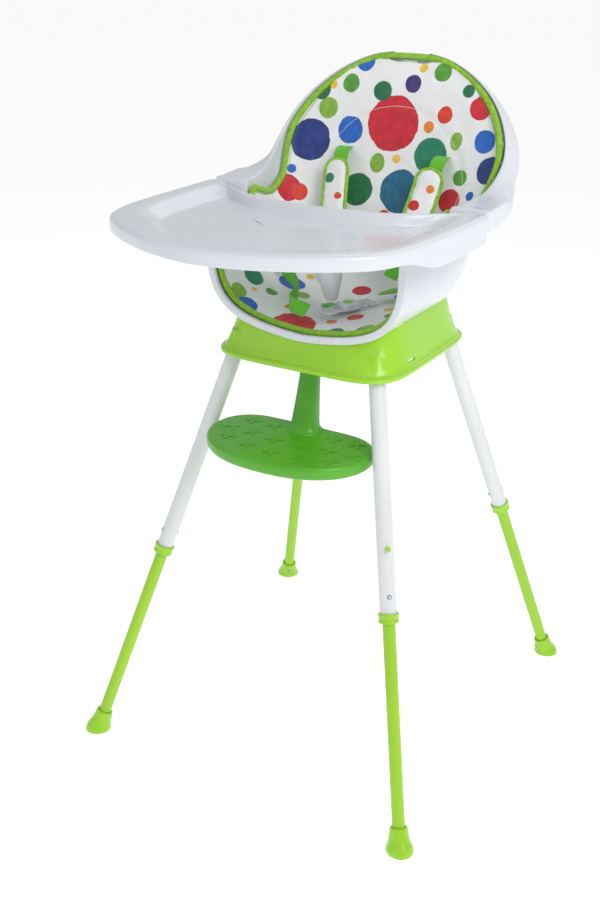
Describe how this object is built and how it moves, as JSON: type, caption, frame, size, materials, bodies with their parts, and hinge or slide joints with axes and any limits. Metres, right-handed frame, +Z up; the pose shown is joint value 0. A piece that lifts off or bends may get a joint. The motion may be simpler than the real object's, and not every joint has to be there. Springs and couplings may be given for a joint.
{
  "type": "baby high chair",
  "caption": "High chair with moulded seat shell, quilted liner, harness, sliding tray, hollow base, footrest and splayed two-part tube legs.",
  "frame": {"origin": "middle of the floor rectangle under the whole chair", "axes": "+Z up; the child faces -Y; +X towards the right of a viewer in front of the chair"},
  "size_m": [0.6022, 0.7282, 1.055],
  "materials": {
    "white_plastic": "glossy moulded white plastic",
    "lime_plastic": "glossy moulded lime green plastic",
    "green_plastic": "satin moulded green plastic",
    "lime_tube": "satin lime green coated tube",
    "white_tube": "satin white powder coat",
    "liner_fabric": "white printed wipe-clean cloth with green piping",
    "webbing": "woven bright green webbing",
    "steel": "plated steel"
  },
  "bodies": {
    "frame": {"base": "lime_plastic", "footrest": "green_plastic", "footrest_screw": "steel", "seat_shell": "white_plastic", "seat_liner": "liner_fabric", "shoulder_strap_left": "webbing", "shoulder_strap_right": "webbing", "shoulder_pad_left": "liner_fabric", "shoulder_pad_right": "liner_fabric", "waist_strap_left": "webbing", "waist_strap_right": "webbing", "crotch_strap": "webbing", "buckle_body": "white_plastic", "tongue_left": "white_plastic", "tongue_right": "white_plastic", "strap_adjuster_left": "white_plastic", "strap_adjuster_right": "white_plastic", "upper_leg_front_left": "white_tube", "leg_collar_front_left": "lime_plastic", "upper_leg_front_right": "white_tube", "leg_collar_front_right": "lime_plastic", "upper_leg_rear_left": "white_tube", "leg_collar_rear_left": "lime_plastic", "upper_leg_rear_right": "white_tube", "leg_collar_rear_right": "lime_plastic"},
    "tray": {"tray": "white_plastic", "crotch_post": "white_plastic", "latch_spring_left": "steel", "latch_spring_right": "steel"},
    "tray_latch_left": {"tray_latch_left": "white_plastic"},
    "tray_latch_right": {"tray_latch_right": "white_plastic"},
    "buckle_button": {"buckle_button": "lime_plastic"},
    "lower_leg_front_left": {"lower_leg_front_left": "lime_tube", "foot_front_left": "lime_plastic", "foot_screw_front_left": "steel", "clip_spring_front_left": "steel"},
    "button_outer_front_left": {"button_outer_front_left": "steel"},
    "button_inner_front_left": {"button_inner_front_left": "steel"},
    "lower_leg_front_right": {"lower_leg_front_right": "lime_tube", "foot_front_right": "lime_plastic", "foot_screw_front_right": "steel", "clip_spring_front_right": "steel"},
    "button_outer_front_right": {"button_outer_front_right": "steel"},
    "button_inner_front_right": {"button_inner_front_right": "steel"},
    "lower_leg_rear_left": {"lower_leg_rear_left": "lime_tube", "foot_rear_left": "lime_plastic", "foot_screw_rear_left": "steel", "clip_spring_rear_left": "steel"},
    "button_outer_rear_left": {"button_outer_rear_left": "steel"},
    "button_inner_rear_left": {"button_inner_rear_left": "steel"},
    "lower_leg_rear_right": {"lower_leg_rear_right": "lime_tube", "foot_rear_right": "lime_plastic", "foot_screw_rear_right": "steel", "clip_spring_rear_right": "steel"},
    "button_outer_rear_right": {"button_outer_rear_right": "steel"},
    "button_inner_rear_right": {"button_inner_rear_right": "steel"}
  },
  "joints": [
    {"name": "tray_slide", "type": "slide", "parent": "frame", "child": "tray", "axis": [0, -1, 0], "range_m": [0, 0.12]},
    {"name": "buckle_press", "type": "slide", "parent": "frame", "child": "buckle_button", "axis": [0, 0, -1], "range_m": [0, 0.0024], "stiffness_N_per_m": 400, "springref_m": -0.003},
    {"name": "tray_latch_left_squeeze", "type": "slide", "parent": "tray", "child": "tray_latch_left", "axis": [-1, 0, 0], "range_m": [0, 0.005], "stiffness_N_per_m": 500, "springref_m": -0.004, "deforming": ["latch_spring_left"]},
    {"name": "tray_latch_right_squeeze", "type": "slide", "parent": "tray", "child": "tray_latch_right", "axis": [1, 0, 0], "range_m": [0, 0.005], "stiffness_N_per_m": 500, "springref_m": -0.004, "deforming": ["latch_spring_right"]},
    {"name": "leg_front_left_slide", "type": "slide", "parent": "frame", "child": "lower_leg_front_left", "axis": [-0.2325, -0.2718, -0.9339], "range_m": [0, 0.12], "deforming": ["button_outer_front_left", "button_inner_front_left"]},
    {"name": "button_outer_front_left_press", "type": "slide", "parent": "lower_leg_front_left", "child": "button_outer_front_left", "axis": [0.6071, 0.7096, -0.3577], "range_m": [0, 0.0032], "stiffness_N_per_m": 500, "springref_m": -0.003, "deforming": ["clip_spring_front_left"]},
    {"name": "button_inner_front_left_press", "type": "slide", "parent": "lower_leg_front_left", "child": "button_inner_front_left", "axis": [-0.6071, -0.7096, 0.3577], "range_m": [0, 0.0032], "stiffness_N_per_m": 500, "springref_m": -0.003},
    {"name": "leg_front_right_slide", "type": "slide", "parent": "frame", "child": "lower_leg_front_right", "axis": [0.2325, -0.2718, -0.9339], "range_m": [0, 0.12], "deforming": ["button_outer_front_right", "button_inner_front_right"]},
    {"name": "button_outer_front_right_press", "type": "slide", "parent": "lower_leg_front_right", "child": "button_outer_front_right", "axis": [-0.6071, 0.7096, -0.3577], "range_m": [0, 0.0032], "stiffness_N_per_m": 500, "springref_m": -0.003, "deforming": ["clip_spring_front_right"]},
    {"name": "button_inner_front_right_press", "type": "slide", "parent": "lower_leg_front_right", "child": "button_inner_front_right", "axis": [0.6071, -0.7096, 0.3577], "range_m": [0, 0.0032], "stiffness_N_per_m": 500, "springref_m": -0.003},
    {"name": "leg_rear_left_slide", "type": "slide", "parent": "frame", "child": "lower_leg_rear_left", "axis": [-0.2325, 0.2718, -0.9339], "range_m": [0, 0.12], "deforming": ["button_outer_rear_left", "button_inner_rear_left"]},
    {"name": "button_outer_rear_left_press", "type": "slide", "parent": "lower_leg_rear_left", "child": "button_outer_rear_left", "axis": [0.6071, -0.7096, -0.3577], "range_m": [0, 0.0032], "stiffness_N_per_m": 500, "springref_m": -0.003, "deforming": ["clip_spring_rear_left"]},
    {"name": "button_inner_rear_left_press", "type": "slide", "parent": "lower_leg_rear_left", "child": "button_inner_rear_left", "axis": [-0.6071, 0.7096, 0.3577], "range_m": [0, 0.0032], "stiffness_N_per_m": 500, "springref_m": -0.003},
    {"name": "leg_rear_right_slide", "type": "slide", "parent": "frame", "child": "lower_leg_rear_right", "axis": [0.2325, 0.2718, -0.9339], "range_m": [0, 0.12], "deforming": ["button_outer_rear_right", "button_inner_rear_right"]},
    {"name": "button_outer_rear_right_press", "type": "slide", "parent": "lower_leg_rear_right", "child": "button_outer_rear_right", "axis": [-0.6071, -0.7096, -0.3577], "range_m": [0, 0.0032], "stiffness_N_per_m": 500, "springref_m": -0.003, "deforming": ["clip_spring_rear_right"]},
    {"name": "button_inner_rear_right_press", "type": "slide", "parent": "lower_leg_rear_right", "child": "button_inner_rear_right", "axis": [0.6071, 0.7096, 0.3577], "range_m": [0, 0.0032], "stiffness_N_per_m": 500, "springref_m": -0.003}
  ],
  "couplings": [
    {"joint": "button_inner_front_left_press", "follows": "button_outer_front_left_press", "ratio": 1},
    {"joint": "button_inner_front_right_press", "follows": "button_outer_front_right_press", "ratio": 1},
    {"joint": "button_inner_rear_left_press", "follows": "button_outer_rear_left_press", "ratio": 1},
    {"joint": "button_inner_rear_right_press", "follows": "button_outer_rear_right_press", "ratio": 1}
  ]
}
